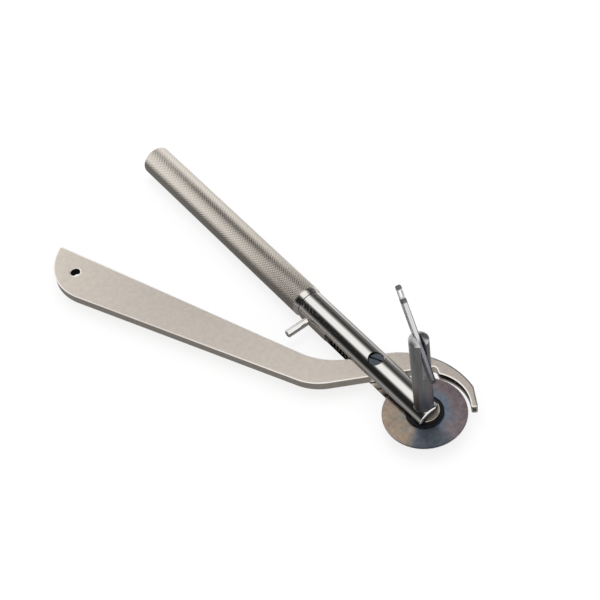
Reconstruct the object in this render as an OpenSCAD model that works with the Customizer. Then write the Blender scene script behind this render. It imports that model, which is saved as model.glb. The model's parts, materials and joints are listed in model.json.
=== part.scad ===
// Ring cutter: a slit barrel on a knurled grip carries a small saw disc, turned by hand with a
// folding key on a post. A flat guard lever swings through the slit, and its grooved hook goes
// under the work and shields what lies below the cut.
// Millimetres. +Z points up the post, +X from the grip to the saw disc. The origin is on the axis of
// the lever's hanging hole, in the middle of the lever's thickness.

/* [Saw disc] */
// Diameter of the saw disc over its teeth
disc_d = 22; // [20:0.5:23]
// Thickness of the saw disc
disc_t = 0.5; // [0.3:0.1:0.7]
// Number of teeth round the saw disc
teeth = 120; // [80:4:150]
// Depth of a tooth
tooth_depth = 0.2; // [0.1:0.05:0.35]
// Diameter of the dark collar on the saw disc
hub_collar_d = 10; // [8.4:0.1:10.5]
// Diameter of the bright washer above the collar
thrust_washer_d = 7.8; // [6:0.1:8.2]
// Thickness of that washer
thrust_washer_t = 0.55; // [0.3:0.05:0.7]
// Diameter of the spacer below the saw disc
spacer_d = 7.4; // [6:0.1:8.2]

/* [Arbor and post] */
// Diameter of the post above the barrel
post_d = 5.1; // [4.8:0.1:5.4]
// Height of the post's top above the barrel axis
post_top = 31.1; // [28:0.1:36]
// Rise of the post's crowned top above its rim
post_crown = 0.9; // [0.4:0.1:1.2]
// Diameter of the arbor in the upper half of the barrel
journal_d = 4; // [3.6:0.1:4.4]
// Depth of the flat that drives the saw disc
drive_flat = 0.5; // [0.3:0.05:0.7]
// Diameter of the screw thread in the lower end of the arbor
end_screw_d = 1.8; // [1.4:0.1:2]
// Length of that thread
end_screw_len = 5; // [3:0.5:8]
// Thickness of the head of the end screw
end_head_t = 0.9; // [0.6:0.1:1.2]
// Thickness of the washer on the end screw
end_washer_t = 0.4; // [0.3:0.1:0.6]

/* [Folding key] */
// Width of the key bar
key_w = 2.2; // [1.9:0.1:3]
// Thickness of the key bar
key_t = 1.3; // [1:0.05:1.5]
// Length of the key from its pin to the upper end
key_long = 15.4; // [12:0.2:20]
// Length of the key from its pin to the lower end
key_short = 10.6; // [8:0.2:13]
// Drop from the post's top to the key's pin
key_drop = 2.7; // [2:0.1:3.5]
// Diameter of the key's pin
key_pin_d = 1; // [0.8:0.1:1.2]
// Width of the long eye through the key's upper end
key_eye_w = 0.7; // [0.4:0.05:0.8]
// Length of that eye
key_eye_len = 2; // [1.2:0.1:2.6]
// Distance from the upper end to the middle of the eye
key_eye_in = 2.2; // [2:0.1:4]
// Lean of the key from upright, away from the nose
key_lean = 37.5; // [5:0.5:60]
// Turn of the key's plane from the barrel
key_turn = -12; // [-30:1:30]

/* [Barrel] */
// Diameter of the barrel
barrel_d = 8.4; // [8.2:0.1:8.8]
// Length of the barrel ahead of the arbor
nose_len = 3.1; // [2.9:0.1:4]
// Length of the barrel behind its side slot
web_len = 0.85; // [0.7:0.05:3]
// Width and depth of the groove at the barrel's rear end
seam_w = 0.35; // [0.2:0.05:0.6]
// Radius of the round on the nose
nose_round = 0.6; // [0.3:0.1:1.2]
// Diameter of the tang inside the grip
tang_d = 6.9; // [6.4:0.1:7.2]
// Length of the tang
tang_len = 15; // [10:1:25]

/* [Grip] */
// Diameter of the grip
grip_d = 9; // [8.6:0.1:10]
// Length of the grip
grip_len = 75.9; // [60:1:95]
// Chamfer at the far end of the grip
grip_chamfer = 0.6; // [0.2:0.1:1]
// Length of the ferrule
ferrule_len = 1.7; // [1.2:0.1:3]
// Length of the bevel on the ferrule
bevel_len = 1.1; // [0.5:0.1:1.1]
// Depth of the bevel on the ferrule
bevel_depth = 0.45; // [0.2:0.05:0.6]

/* [Guard lever] */
// Thickness of the lever
lever_t = 2.6; // [2.2:0.1:2.8]
// Distance from the arbor back to the lever's pivot
pivot_back = 19.2; // [18.8:0.1:20.5]
// Width of the neck that passes through the barrel
neck_w = 6.8; // [6.2:0.1:7.2]
// Angle of the neck to the barrel
neck_angle = 59; // [56:0.5:62]
// Distance from the pivot to the bend below it
bend_drop = 15.8; // [14:0.2:18]
// Angle of the handle to the barrel
handle_angle = 22; // [20:0.5:24]
// Length of the handle from the bend to its end
handle_len = 89.5; // [70:0.5:100]
// Width of the handle at the bend
handle_root_w = 7.7; // [6.8:0.1:9]
// Width of the handle at its end
handle_end_w = 14.2; // [11:0.2:16]
// Slant of the handle's end
end_slant = 2.8; // [0:0.2:5]
// Straight stretch of the handle's end beside the large round
end_flat = 1.2; // [0.8:0.1:6]
// Small radius on the handle's upper end corner
end_corner_r = 0.5; // [0.2:0.1:0.8]
// Radius of the bend on its inner side
bend_inner_r = 20; // [12:1:24]
// Radius of the bend on its outer side
bend_outer_r = 14.5; // [10:0.5:18]
// Distance from the pivot along the neck to the start of the hook
hook_start = 2.2; // [1:0.1:4]
// Width of the hook above the saw disc
hook_w = 2.4; // [2:0.1:3.2]
// Angle round the saw disc where the hook's inner arc starts
hook_from = 123; // [118:1:126]
// Angle round the saw disc where the hook ends
hook_to = 50; // [40:1:65]
// Direction of the step between the neck and the hook's inner arc
notch_angle = 160; // [150:1:170]
// Radius in the corner of that step
notch_r = 1.1; // [0.6:0.1:1.2]
// Angle round the hook's back where it starts to narrow to the tip
back_taper = 78; // [74:1:84]
// Width of the hook at its tip
tip_w = 1.7; // [1.5:0.1:2]
// Turn of the lever from rest to where the hook lies evenly round the disc
close_turn = 2.4; // [1.5:0.1:3]
// Turn of the lever from rest to its squeezed stop
squeeze_turn = 4; // [3:0.1:4.5]
// Depth of the groove for the saw disc in the hook
groove_depth = 1; // [0.8:0.05:1.1]
// Diameter of the hanging hole
hang_d = 2.8; // [2:0.1:4]
// Distance from the handle's end to the hanging hole
hang_in = 8.7; // [6:0.1:20]
// Offset of the hanging hole from the handle's middle line
hang_offset = 0.9; // [-1:0.1:2]
// Diameter of the pivot screw
pivot_d = 3.2; // [2.6:0.1:3.4]
// Diameter of the pivot screw's head
pivot_head_d = 4.2; // [4:0.1:4.8]
// Thickness of the pivot screw's head
pivot_head_t = 0.8; // [0.6:0.05:0.9]
// Width of the slots in the screw heads
driver_slot_w = 0.7; // [0.4:0.05:0.8]
// Depth of the slots in the screw heads
driver_slot_depth = 0.4; // [0.2:0.05:0.45]
// Turn of the pivot screw's slot from the barrel
driver_turn = 24; // [0:1:90]
// Diameter of the shims beside the lever
shim_d = 6.4; // [5:0.1:6.8]
// Thickness of a shim
shim_t = 0.2; // [0.1:0.05:0.3]

/* [Slider and spring] */
// Diameter of the bore for the slider
bore_d = 5.7; // [5.4:0.1:5.9]
// Length of the slider
slider_len = 11; // [9:0.5:12]
// Height of the slider's rib above the barrel
rib_proud = 0.15; // [0:0.05:0.4]
// Diameter of the thumb peg
peg_d = 2.2; // [1.8:0.1:2.5]
// Reach of the thumb peg from the barrel axis
peg_reach = 11; // [8:0.5:11.5]
// Distance from the slider's rear end to the thumb peg
peg_along = 3.1; // [2:0.1:5]
// Length of the spring at rest
spring_len = 10.5; // [9.5:0.1:10.8]
// Wire diameter of the spring
wire_d = 0.6; // [0.5:0.05:0.7]
// Mean diameter of the spring's coils
coil_d = 4.7; // [4.3:0.1:4.8]
// Number of coils
coils = 7; // [5:1:8]
// Diameter of the guide rod inside the spring
rod_d = 2; // [1.6:0.1:2.6]
// Length of the guide rod ahead of the slider
rod_len = 7; // [4:0.5:7]

/* [Clearances] */
// Radial clearance of a turning fit
run_fit = 0.04; // [0.02:0.01:0.08]
// Radial clearance of a pressed or screwed joint
tight_fit = 0.01; // [0.005:0.005:0.02]
// Clearance of the slider in its bore and slot
slide_fit = 0.06; // [0.03:0.01:0.1]
// Axial clearance between turning faces
side_fit = 0.03; // [0.02:0.01:0.06]
// Clearance between the saw disc and the hook
disc_gap = 0.2; // [0.1:0.05:0.4]
// Clearance of the saw disc on each side in the hook's groove
groove_gap = 0.3; // [0.2:0.05:0.4]
// Clearance round the key in the post's slot
key_gap = 0.1; // [0.05:0.01:0.15]
// Clearance round recessed screw heads and the post's foot
recess_gap = 0.1; // [0.05:0.01:0.12]
// Depth of the seats of the post and the end screw below the barrel's round side
seat_sink = 0.05; // [0.02:0.01:0.1]
// Clearance between the slider and the rear end of its slot
slot_gap = 0.2; // [0.1:0.05:0.4]
// Clearance between the squeezed lever and the spring's front seat
neck_gap = 0.5; // [0.3:0.1:1]
// Length of the pivot screw left short of the barrel's lower side
screw_short = 0.3; // [0.1:0.1:0.6]

/* [Hidden] */

$fn = 64;
cut = 1;
arc_step = 6;

disc_r = disc_d / 2;
barrel_r = barrel_d / 2;
post_r = post_d / 2;
journal_r = journal_d / 2;
low_journal_r = journal_r - drive_flat;
slit_h = lever_t + 2 * (shim_t + 2 * side_fit);
slit_top = slit_h / 2;

// Heights of the seats for the post's foot and the end screw, just under the barrel's round side
recess_r = post_r + recess_gap;
seat_z = sqrt(barrel_r * barrel_r - recess_r * recess_r) - seat_sink;
end_head_r = post_r - recess_gap;
hub_top = slit_top - thrust_washer_t - 2 * side_fit;
key_z = post_top - key_drop;
slot_depth = key_short + 3 * key_gap;

// Sphere of the post's crowned top
crown_r = (post_r * post_r + post_crown * post_crown) / (2 * post_crown);
crown_from = acos(post_r / crown_r);

// Spring, slider and slot along the barrel, as distances back from the arbor: the spring's seat lies
// just behind the neck of the squeezed lever, and the rest follows from there
bore_r = bore_d / 2;
squeezed = neck_angle - squeeze_turn;
neck_reach = (neck_w / 2 + bore_r * cos(squeezed)) / sin(squeezed);
spring_front = pivot_back + neck_reach + neck_gap;
slider_front = spring_front + spring_len;
slider_rear = slider_front + slider_len;
slot_rear = slider_rear + slot_gap;
tail_len = slot_rear + web_len;
slit_rear = spring_front + neck_gap;

pivot = [-pivot_back, 0];
head_seat = sqrt(barrel_r * barrel_r - pow(pivot_head_d / 2 + recess_gap, 2)) - pivot_head_t;

// Plane helpers for the lever's outline
function along(a) = [cos(a), sin(a)];
function across(a) = [-sin(a), cos(a)];
function unit(v) = v / norm(v);
function meet(p, a, q, b) = p + along(a) * cross(q - p, along(b)) / cross(along(a), along(b));
function sweep(o, r, a0, a1, n) = [for (i = [0:n]) o + r * along(a0 + (a1 - a0) * i / n)];
function arc(o, r, a0, a1) = sweep(o, r, a0, a1, ceil(abs(a1 - a0) / arc_step));
function corner_half(before, p, after) = acos(unit(before - p) * unit(after - p)) / 2;
function corner(before, p, after, r) =
    let (
        u = unit(before - p),
        v = unit(after - p),
        half = corner_half(before, p, after),
        o = p + unit(u + v) * r / sin(half),
        s = p + u * r / tan(half) - o,
        e = p + v * r / tan(half) - o,
        a = atan2(s.y, s.x)
    )
    arc(o, r, a, a + atan2(cross(s, e), s * e));

// The lever's lines: the neck through the pivot, and the tapered handle from the bend
neck_left = pivot + across(neck_angle) * neck_w / 2;
neck_right = pivot - across(neck_angle) * neck_w / 2;
bend = pivot - along(neck_angle) * bend_drop;
taper = atan((handle_end_w - handle_root_w) / 2 / handle_len);
function handle_half_w(s) = (handle_root_w + (handle_end_w - handle_root_w) * s / handle_len) / 2;
function on_handle(s, offset) = bend - along(handle_angle) * s + across(handle_angle) * offset;
end_top_s = handle_len + end_slant / 2;
end_low_s = handle_len - end_slant / 2;
end_top = on_handle(end_top_s, handle_half_w(end_top_s));
end_low = on_handle(end_low_s, -handle_half_w(end_low_s));
bend_outer = meet(on_handle(0, -handle_root_w / 2), handle_angle + taper, neck_right, neck_angle);
bend_inner = meet(on_handle(0, handle_root_w / 2), handle_angle - taper, neck_left, neck_angle);
end_radius = (norm(end_top - end_low) - end_flat) * tan(corner_half(end_top, end_low, bend_outer));
hang = on_handle(handle_len - hang_in, hang_offset);

// The hook: its inner arc lies round the saw disc once the lever has turned by close_turn, and its
// outer arc leaves the neck smoothly and passes hook_w above the inner one
hook_r = disc_r + disc_gap;
hook_centre = pivot + pivot_back * along(close_turn);
hook_root = hook_centre + hook_r * along(hook_from);
notch = meet(hook_root, notch_angle, neck_right, neck_angle);
back_start = neck_left + along(neck_angle) * hook_start;
back_top = hook_centre + [0, hook_r + hook_w];
back_r = pow(norm(back_start - back_top), 2) / (2 * across(neck_angle) * (back_start - back_top));
back_centre = back_start - across(neck_angle) * back_r;
tip_in = hook_centre + hook_r * along(hook_to);
tip_out = hook_centre + (hook_r + tip_w) * along(hook_to);
hook_arc = arc(hook_centre, hook_r, hook_from - arc_step, hook_to + arc_step);
back_arc = arc(back_centre, back_r, back_taper, 90 + neck_angle);
lever_outline = concat(
    corner(bend_inner, end_top, end_low, end_corner_r),
    corner(end_top, end_low, bend_outer, end_radius),
    corner(end_low, bend_outer, notch, bend_outer_r),
    corner(bend_outer, notch, hook_root, notch_r),
    corner(notch, hook_root, hook_arc[0], tip_w / 6),
    hook_arc,
    corner(hook_arc[len(hook_arc) - 1], tip_in, tip_out, tip_w / 6),
    corner(tip_in, tip_out, back_arc[0], tip_w / 3),
    back_arc,
    corner(back_start, bend_inner, end_top, bend_inner_r));

// Moves a piece from the arbor's place to the part's own frame
module placed() {
    translate([-hang.x, -hang.y, 0])
        children();
}

// Lays a turned shape along the barrel, its own +Z towards the nose
module along_barrel() {
    rotate([0, 90, 0])
        children();
}

module rod(r, z0, z1) {
    translate([0, 0, z0])
        cylinder(r = r, h = z1 - z0);
}

module ring(r_out, r_in, z0, z1) {
    difference() {
        rod(r_out, z0, z1);
        rod(r_in, z0 - cut, z1 + cut);
    }
}

module at_pivot() {
    translate([pivot.x, pivot.y, 0])
        children();
}

module at_key() {
    translate([0, 0, key_z])
        rotate(key_turn)
            children();
}

// Side of the arbor left standing next to the drive flat
module drive_profile(r) {
    intersection() {
        circle(r = r);
        translate([-2 * r + low_journal_r + r - journal_r, -r])
            square(2 * r);
    }
}

module barrel_body() {
    tail = [
        [0, -tail_len - tang_len],
        [tang_d / 2, -tail_len - tang_len],
        [tang_d / 2, -tail_len],
        [barrel_r - seam_w, -tail_len],
        [barrel_r - seam_w, -tail_len + seam_w],
        [barrel_r, -tail_len + seam_w]];
    nose = sweep([barrel_r - nose_round, nose_len - nose_round], nose_round, 0, 90, 5);
    along_barrel()
        rotate_extrude()
            polygon(concat(tail, nose, [[0, nose_len]]));
}

// The nose's corner on the hook's side, rounded off as wide as the barrel is at the slit
module nose_corner() {
    round_r = sqrt(barrel_r * barrel_r - slit_top * slit_top);
    translate([nose_len - round_r, 0, 0])
        linear_extrude(3 * barrel_r, center = true)
            difference() {
                square(barrel_r + cut);
                circle(r = round_r);
            }
}

module barrel() {
    color("Silver")
        placed()
            difference() {
                barrel_body();
                nose_corner();
                along_barrel()
                    rod(bore_r, -tail_len - tang_len - cut, -spring_front);
                translate([-slot_rear, -barrel_r - cut, -slit_top])
                    cube([slot_rear + nose_len + cut, barrel_r + cut, slit_h]);
                translate([-slit_rear, -barrel_r - cut, -slit_top])
                    cube([slit_rear + nose_len + cut, 2 * barrel_r + 2 * cut, slit_h]);
                at_pivot() {
                    rod(pivot_d / 2 + tight_fit, -barrel_r - cut, barrel_r + cut);
                    rod(pivot_head_d / 2 + recess_gap, head_seat, barrel_r + cut);
                }
                rod(journal_r + run_fit, 0, barrel_r + cut);
                rod(low_journal_r + run_fit, -barrel_r - cut, 0);
                rod(recess_r, seat_z, barrel_r + cut);
                rod(recess_r, -barrel_r - cut, -seat_z);
            }
}

module grip() {
    front = -tail_len - ferrule_len;
    rear = front - grip_len;
    color("Gainsboro")
        placed()
            along_barrel()
                difference() {
                    rotate_extrude()
                        polygon([
                            [0, rear],
                            [grip_d / 2 - grip_chamfer, rear],
                            [grip_d / 2, rear + grip_chamfer],
                            [grip_d / 2, front],
                            [0, front]]);
                    rod(tang_d / 2 + tight_fit, -tail_len - tang_len, front + cut);
                }
}

module ferrule() {
    front = -tail_len;
    rear = front - ferrule_len;
    color("WhiteSmoke")
        placed()
            along_barrel()
                rotate_extrude()
                    polygon([
                        [tang_d / 2 + tight_fit, rear],
                        [grip_d / 2, rear],
                        [grip_d / 2, front - bevel_len],
                        [grip_d / 2 - bevel_depth, front],
                        [tang_d / 2 + tight_fit, front]]);
}

module guard_lever() {
    color("LightGray")
        placed()
            difference() {
                linear_extrude(lever_t, center = true)
                    polygon(lever_outline);
                at_pivot()
                    rod(pivot_d / 2 + run_fit, -lever_t, lever_t);
                translate([hang.x, hang.y, 0])
                    rod(hang_d / 2, -lever_t, lever_t);
                translate([hook_centre.x, hook_centre.y, 0])
                    rod(hook_r + groove_depth, -disc_t / 2 - groove_gap, disc_t / 2 + groove_gap);
            }
}

module pivot_screw() {
    head_top = head_seat + pivot_head_t;
    color("DimGray")
        placed()
            at_pivot()
                difference() {
                    union() {
                        rod(pivot_head_d / 2, head_seat, head_top);
                        rod(pivot_d / 2, -barrel_r + screw_short, head_seat);
                    }
                    rotate(driver_turn)
                        translate([-pivot_head_d, -driver_slot_w / 2, head_top - driver_slot_depth])
                            cube([2 * pivot_head_d, driver_slot_w, cut]);
                }
}

module shim(z0) {
    color("Gray")
        placed()
            at_pivot()
                ring(shim_d / 2, pivot_d / 2 + tight_fit, z0, z0 + shim_t);
}

module upper_shim() {
    shim(slit_top - shim_t - side_fit);
}

module lower_shim() {
    shim(-slit_top + side_fit);
}

module arbor_post() {
    crown = sweep([0, post_top - crown_r], crown_r, crown_from, 90, 6);
    color("SlateGray")
        placed()
            difference() {
                union() {
                    rotate_extrude()
                        polygon(concat([[0, seat_z + side_fit], [post_r, seat_z + side_fit]], crown));
                    rod(journal_r, hub_top, seat_z + side_fit);
                    translate([0, 0, -disc_t / 2])
                        linear_extrude(hub_top + disc_t / 2)
                            drive_profile(journal_r);
                    rod(low_journal_r, -seat_z - side_fit, -disc_t / 2);
                }
                at_key() {
                    translate([-post_d, -key_t / 2 - key_gap, -slot_depth])
                        cube([2 * post_d, key_t + 2 * key_gap, slot_depth + key_drop + cut]);
                    rotate([90, 0, 0])
                        rod(key_pin_d / 2 + tight_fit, -post_d, post_d);
                }
                rod(end_screw_d / 2 + tight_fit, -seat_z - cut, -seat_z + end_screw_len + cut);
            }
}

module thrust_washer() {
    color("White")
        placed()
            ring(thrust_washer_d / 2, journal_r + run_fit,
                slit_top - thrust_washer_t - side_fit, slit_top - side_fit);
}

module hub_collar() {
    color("DarkSlateGray")
        placed()
            translate([0, 0, disc_t / 2])
                linear_extrude(hub_top - disc_t / 2)
                    difference() {
                        circle(d = hub_collar_d);
                        drive_profile(journal_r + tight_fit);
                    }
}

module saw_disc() {
    step = 360 / teeth;
    root_r = disc_r - tooth_depth;
    color("RosyBrown")
        placed()
            linear_extrude(disc_t, center = true)
                difference() {
                    polygon([for (i = [0:teeth - 1], tip = [true, false])
                        (tip ? disc_r : root_r) * along(i * step + (tip ? 0 : 0.2 * step))]);
                    drive_profile(journal_r + tight_fit);
                }
}

module lower_spacer() {
    color("Gray")
        placed()
            ring(spacer_d / 2, low_journal_r + tight_fit, -slit_top + side_fit, -disc_t / 2);
}

module end_washer() {
    color("Gray")
        placed()
            ring(end_head_r, end_screw_d / 2 + tight_fit,
                -seat_z - side_fit - end_washer_t, -seat_z - side_fit);
}

module end_screw() {
    head_top = -seat_z - side_fit - end_washer_t;
    color("DimGray")
        placed()
            difference() {
                union() {
                    rod(end_head_r, head_top - end_head_t, head_top);
                    rod(end_screw_d / 2, head_top, -seat_z + end_screw_len);
                }
                translate([-post_d, -driver_slot_w / 2, head_top - end_head_t - cut + driver_slot_depth])
                    cube([2 * post_d, driver_slot_w, cut]);
            }
}

module key_outline() {
    end_r = key_w / 2;
    difference() {
        union() {
            translate([-end_r, end_r - key_short])
                square([key_w, key_long + key_short - key_w]);
            translate([0, key_long - end_r])
                circle(r = end_r);
            translate([0, end_r - key_short])
                circle(r = end_r);
        }
        circle(d = key_pin_d + 2 * run_fit);
    }
}

// The eye runs across the key, square to its pin
module key_eye() {
    half = (key_eye_len - key_eye_w) / 2;
    translate([0, key_long - key_eye_in, 0])
        rotate([0, 90, 0])
            linear_extrude(2 * key_w, center = true)
                union() {
                    square([key_eye_w, 2 * half], center = true);
                    translate([0, half])
                        circle(d = key_eye_w);
                    translate([0, -half])
                        circle(d = key_eye_w);
                }
}

module key_bar() {
    color("Silver")
        placed()
            at_key()
                rotate([0, -key_lean, 0])
                    rotate([90, 0, 0])
                        difference() {
                            linear_extrude(key_t, center = true)
                                key_outline();
                            key_eye();
                        }
}

module key_pin() {
    half = sqrt(post_r * post_r - key_pin_d * key_pin_d / 4);
    color("DimGray")
        placed()
            at_key()
                rotate([90, 0, 0])
                    rod(key_pin_d / 2, -half, half);
}

module slider() {
    rib_r = barrel_r + rib_proud;
    rib_h = slit_h - 2 * slide_fit;
    color("Tan")
        placed()
            difference() {
                union() {
                    along_barrel()
                        rod(bore_r - slide_fit, -slider_rear, -slider_front);
                    intersection() {
                        along_barrel()
                            rod(rib_r, -slider_rear, -slider_front);
                        translate([-slider_rear, -rib_r, -rib_h / 2])
                            cube([slider_len, rib_r, rib_h]);
                    }
                }
                translate([-slider_rear + peg_along, 0, 0])
                    rotate([90, 0, 0])
                        rod(peg_d / 2 + tight_fit, bore_r / 2, rib_r + cut);
                along_barrel()
                    rod(rod_d / 2 + tight_fit, -slider_front - rod_d, -slider_front + cut);
            }
}

module thumb_peg() {
    tip_chamfer = 0.35;
    color("WhiteSmoke")
        placed()
            translate([-slider_rear + peg_along, 0, 0])
                rotate([90, 0, 0])
                    rotate_extrude()
                        polygon([
                            [0, bore_r / 2],
                            [peg_d / 2, bore_r / 2],
                            [peg_d / 2, peg_reach - tip_chamfer],
                            [peg_d / 2 - tip_chamfer, peg_reach],
                            [0, peg_reach]]);
}

module guide_rod() {
    color("Gray")
        placed()
            along_barrel()
                rod(rod_d / 2, -slider_front - rod_d, -slider_front + rod_len);
}

// The spring's middle line: a straight lead at each end, and coils between them
rings = 8;
sides = 6;
coil_r = coil_d / 2;
wire_r = wire_d / 2;
coil_steps = coils * rings;
function coil_angle(i) = 90 - 360 * i / rings;
function coil_x(i) = -slider_front + wire_d + (spring_len - 2 * wire_d) * i / coil_steps;
function coil_point(x, a) = [x, coil_r * cos(a), coil_r * sin(a)];
spring_line = concat(
    [coil_point(-slider_front, coil_angle(0))],
    [for (i = [0:coil_steps]) coil_point(coil_x(i), coil_angle(i))],
    [coil_point(-spring_front, coil_angle(coil_steps))]);
spring_last = len(spring_line) - 1;
function heading(i) = unit(spring_line[min(i + 1, spring_last)] - spring_line[max(i - 1, 0)]);
function outward(i) = unit([0, spring_line[i].y, spring_line[i].z]);
spring_points = [for (i = [0:spring_last], k = [0:sides - 1])
    let (a = 360 * k / sides)
    spring_line[i] + wire_r * (cos(a) * outward(i) + sin(a) * cross(heading(i), outward(i)))];
spring_faces = concat(
    [for (i = [0:spring_last - 1], k = [0:sides - 1], half = [0, 1])
        let (
            a = i * sides + k,
            b = i * sides + (k + 1) % sides
        )
        half == 0 ? [a, a + sides, b] : [b, a + sides, b + sides]],
    [for (k = [1:sides - 2]) [0, k, k + 1]],
    [for (k = [1:sides - 2])
        let (last = spring_last * sides)
        [last, last + k + 1, last + k]]);
spring_gap = min([for (i = [0:spring_last], j = [i + rings - 1:spring_last])
    norm(spring_line[j] - spring_line[i])]) - wire_d;
echo(least_gap_between_coils = spring_gap);

module return_spring() {
    color("DarkSlateGray")
        placed()
            polyhedron(spring_points, spring_faces);
}

barrel();
grip();
ferrule();
guard_lever();
pivot_screw();
upper_shim();
lower_shim();
arbor_post();
thrust_washer();
hub_collar();
saw_disc();
lower_spacer();
end_washer();
end_screw();
key_bar();
key_pin();
slider();
thumb_peg();
guide_rod();
return_spring();
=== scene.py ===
# %% [markdown]
# # A ring cutter
# This hand tool saws a tight metal band open. A knurled grip carries a polished, slit barrel, and
# a small toothed disc turns in the slit on a post with a folding key. A flat lever swings through
# the barrel and ends in a grooved hook that goes under the work and shields what lies below the
# cut.
#
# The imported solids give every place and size. The pieces below are finer versions of them, each
# made in millimetres round the arbor's axis and then moved into the frame.

# %% The frame
import json
from math import acos, asin, atan, atan2, ceil, cos, degrees, hypot, pi, radians, sin, sqrt, tan

import bmesh
import bpy
from mathutils import Matrix, Vector


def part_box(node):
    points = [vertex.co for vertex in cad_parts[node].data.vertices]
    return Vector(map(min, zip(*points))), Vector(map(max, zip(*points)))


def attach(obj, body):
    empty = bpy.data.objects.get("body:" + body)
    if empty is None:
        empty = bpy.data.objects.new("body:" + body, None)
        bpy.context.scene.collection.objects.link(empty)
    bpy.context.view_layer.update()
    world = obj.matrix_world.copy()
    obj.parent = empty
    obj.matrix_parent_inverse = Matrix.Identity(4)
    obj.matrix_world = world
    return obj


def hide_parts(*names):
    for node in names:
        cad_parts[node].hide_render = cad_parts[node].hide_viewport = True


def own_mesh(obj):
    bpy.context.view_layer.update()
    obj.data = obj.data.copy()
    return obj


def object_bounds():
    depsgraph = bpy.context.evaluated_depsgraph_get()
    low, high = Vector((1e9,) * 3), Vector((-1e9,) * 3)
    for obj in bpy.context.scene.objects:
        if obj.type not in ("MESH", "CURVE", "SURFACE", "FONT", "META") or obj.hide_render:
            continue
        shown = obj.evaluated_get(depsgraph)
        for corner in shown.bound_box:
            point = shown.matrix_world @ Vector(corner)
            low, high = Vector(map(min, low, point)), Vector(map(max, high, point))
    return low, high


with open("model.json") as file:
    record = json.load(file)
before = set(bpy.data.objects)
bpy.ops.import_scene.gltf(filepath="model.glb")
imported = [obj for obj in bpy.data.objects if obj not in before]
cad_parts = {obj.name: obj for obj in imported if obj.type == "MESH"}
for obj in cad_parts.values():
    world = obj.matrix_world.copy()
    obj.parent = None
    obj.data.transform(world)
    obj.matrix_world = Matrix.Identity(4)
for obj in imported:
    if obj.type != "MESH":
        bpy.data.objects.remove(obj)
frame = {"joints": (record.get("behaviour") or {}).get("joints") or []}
CAD_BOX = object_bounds()
scene = bpy.context.scene
scene.view_settings.view_transform = "Standard"

MM = 0.001
JOINTS = {joint["name"]: joint for joint in frame["joints"]}
ARBOR = Vector(JOINTS["blade_spin"]["pos_m"])
PIVOT = (Vector(JOINTS["lever_pivot"]["pos_m"]) - ARBOR) / MM
KEY_PIN = (Vector(JOINTS["key_fold"]["pos_m"]) - ARBOR) / MM
KEY_AXIS = Vector(JOINTS["key_fold"]["axis"])


def span(cad_node):
    """A solid's lowest and highest corner, in millimetres from the arbor."""
    low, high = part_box(cad_node)
    return (low - ARBOR) / MM, (high - ARBOR) / MM


print("arbor at", tuple(round(c, 5) for c in ARBOR), "pivot", tuple(round(c, 2) for c in PIVOT))

# %% [markdown]
# ## The camera
# The tool is seen from above its right side, with the barrel running down to the lower right. The
# place, the turn and the lens were found by matching known points of the tool: its axes, the saw
# disc's ellipse and the lever's outline.

# %% Camera
CAMERA_PLACE = Vector((168.59, -124.35, 295.67))
CAMERA_RIGHT = Vector((0.5987, 0.7926, -0.1152))
CAMERA_BACK = Vector((0.5663, -0.3172, 0.7607))
IMAGE_HALF = 300
FOCAL_PIXELS = 1416.5
NEAREST = 0.01

back = CAMERA_BACK.normalized()
right = (CAMERA_RIGHT - back * CAMERA_RIGHT.dot(back)).normalized()
up = back.cross(right)
camera = bpy.data.objects.new("camera", bpy.data.cameras.new("camera"))
scene.collection.objects.link(camera)
camera.data.sensor_fit = "HORIZONTAL"
camera.data.angle = 2 * atan(IMAGE_HALF / FOCAL_PIXELS)
camera.data.clip_start = NEAREST
camera.matrix_world = Matrix.Translation(ARBOR + CAMERA_PLACE * MM) @ Matrix(
    (right, up, back)).transposed().to_4x4()
scene.camera = camera
print("camera angle", round(degrees(camera.data.angle), 2))

# %% [markdown]
# ## Shared surface effects
# Plated and hardened steel share a few traits: a fine grain from blasting or brushing, hairline
# scratches from use, and slow changes of tone. Each is a node group with named sockets, built once
# and placed in every finish with its own values. A few helpers come first, so that a chain of
# nodes can be written like a sum.

# %% Node helpers
def feed(tree, socket, value):
    """Links another node's output to an input, or sets the input's own value."""
    if isinstance(value, bpy.types.NodeSocket):
        tree.links.new(value, socket)
    else:
        socket.default_value = value


def node(tree, kind, *terms, **settings):
    """Adds a node. Terms feed its inputs in order, settings with a capital feed them by name, and
    the other settings are properties of the node."""
    made = tree.nodes.new("ShaderNode" + kind)
    for name, value in settings.items():
        if name[0].isupper():
            feed(tree, made.inputs[name.replace("_", " ")], value)
        else:
            setattr(made, name, value)
    for socket, term in zip(made.inputs, terms):
        feed(tree, socket, term)
    return made


def calc(tree, operation, *terms):
    """What a math node makes of its terms."""
    return node(tree, "Math", *terms, operation=operation).outputs[0]


def vector_calc(tree, operation, *terms):
    """What a vector math node makes of its terms, a vector or one number."""
    result = "Value" if operation in ("DOT_PRODUCT", "LENGTH") else "Vector"
    return node(tree, "VectorMath", *terms, operation=operation).outputs[result]


def stretch(tree, value, old, new=(0, 1), **settings):
    """Moves a value from one range to another."""
    return node(tree, "MapRange", value, *old, *new, **settings).outputs[0]


def compare(tree, place, direction, low, high):
    """How far a vector points along a direction, from 0 to 1 between two levels."""
    along = vector_calc(tree, "DOT_PRODUCT", place, direction)
    return stretch(tree, along, (low, high), interpolation_type="SMOOTHSTEP")


def band(tree, place, direction, low, high, soft):
    """1 between two levels along a direction, with soft ends."""
    return calc(tree, "MULTIPLY", compare(tree, place, direction, low - soft, low + soft),
                compare(tree, place, -direction, -high - soft, soft - high))


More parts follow.
